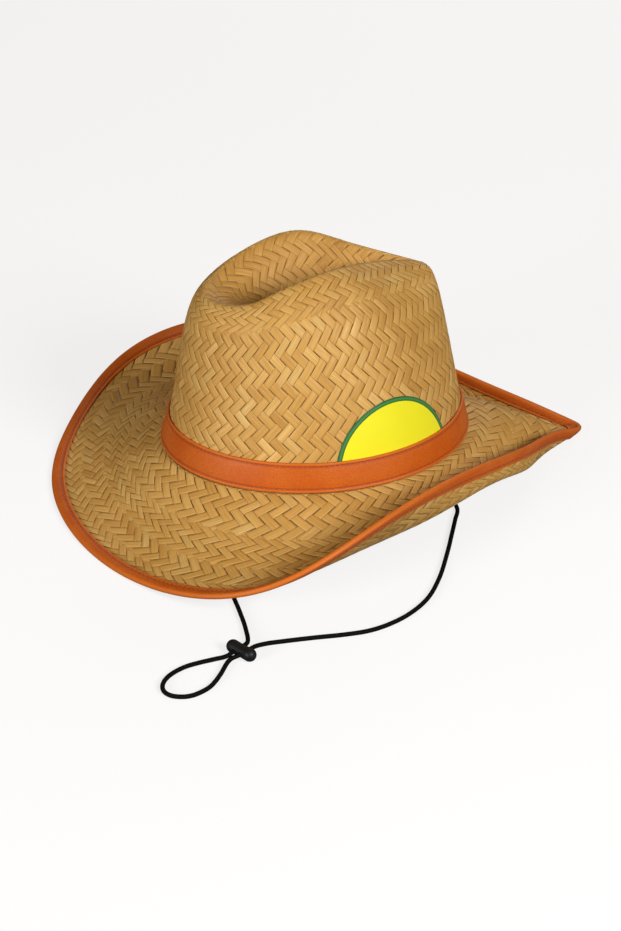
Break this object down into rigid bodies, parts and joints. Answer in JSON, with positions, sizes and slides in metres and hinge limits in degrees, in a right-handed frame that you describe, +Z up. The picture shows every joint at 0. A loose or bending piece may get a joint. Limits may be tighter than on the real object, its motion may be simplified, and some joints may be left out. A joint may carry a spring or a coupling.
{
  "type": "straw cowboy hat",
  "caption": "Woven straw cowboy hat with a creased crown, curled brim, vinyl band and edge binding, tucked round label and a black chin cord with a cord lock.",
  "frame": {"origin": "on the surface that the hat rests on, below the middle of the hat without its cord", "axes": "+Z up, -Y to the hat's front, +Y to the folded back tip of the brim, +X to the wearer's left"},
  "size_m": [0.391, 0.3664, 0.1626],
  "materials": {
    "straw": "palm-leaf straw in a herringbone weave, dry with a slight sheen",
    "orange_vinyl": "thin orange vinyl with a fine leather grain and a row of stitches",
    "label": "coated card, yellow with a green border",
    "black_cord": "round braided black cord",
    "black_plastic": "matte black moulded plastic"
  },
  "bodies": {
    "root": {"straw_body": "straw", "brim_binding": "orange_vinyl", "hat_band": "orange_vinyl", "label_badge": "label", "cord_tab_left": "orange_vinyl", "cord_tab_right": "orange_vinyl", "chin_cord": "black_cord", "cord_toggle": "black_plastic"}
  },
  "joints": []
}
